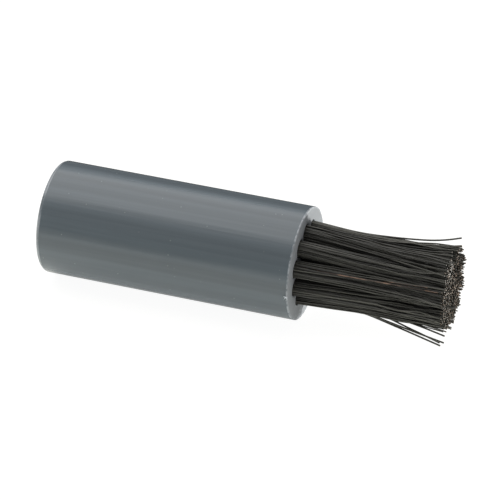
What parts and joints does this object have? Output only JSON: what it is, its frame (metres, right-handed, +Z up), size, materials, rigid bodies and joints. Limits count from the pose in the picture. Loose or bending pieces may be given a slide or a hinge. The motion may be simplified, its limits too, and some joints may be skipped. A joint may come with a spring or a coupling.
{
  "type": "stub brush",
  "caption": "Short cylindrical plastic handle with a round end brush of stiff black bristle tufts stapled into drilled holes, for cleaning small surfaces by hand.",
  "frame": {"origin": "on the resting surface, under the middle of the whole brush, which lies on its side", "axes": "+X along the rod's axis from the handle towards the bristle tips, +Z up from the resting surface, +Y to the side"},
  "size_m": [0.0728, 0.02, 0.02],
  "materials": {
    "grey_pvc": "satin",
    "black_bristle": "satin",
    "anchor_wire": "satin"
  },
  "bodies": {
    "root": {"handle_rod": "grey_pvc", "outer_tuft_01": "black_bristle", "outer_tuft_02": "black_bristle", "outer_tuft_03": "black_bristle", "outer_tuft_04": "black_bristle", "outer_tuft_05": "black_bristle", "outer_tuft_06": "black_bristle", "outer_tuft_07": "black_bristle", "outer_tuft_08": "black_bristle", "outer_tuft_09": "black_bristle", "outer_tuft_10": "black_bristle", "inner_tuft_01": "black_bristle", "inner_tuft_02": "black_bristle", "inner_tuft_03": "black_bristle", "inner_tuft_04": "black_bristle", "outer_anchor_01": "anchor_wire", "outer_anchor_02": "anchor_wire", "outer_anchor_03": "anchor_wire", "outer_anchor_04": "anchor_wire", "outer_anchor_05": "anchor_wire", "outer_anchor_06": "anchor_wire", "outer_anchor_07": "anchor_wire", "outer_anchor_08": "anchor_wire", "outer_anchor_09": "anchor_wire", "outer_anchor_10": "anchor_wire", "inner_anchor_01": "anchor_wire", "inner_anchor_02": "anchor_wire", "inner_anchor_03": "anchor_wire", "inner_anchor_04": "anchor_wire"}
  },
  "joints": []
}
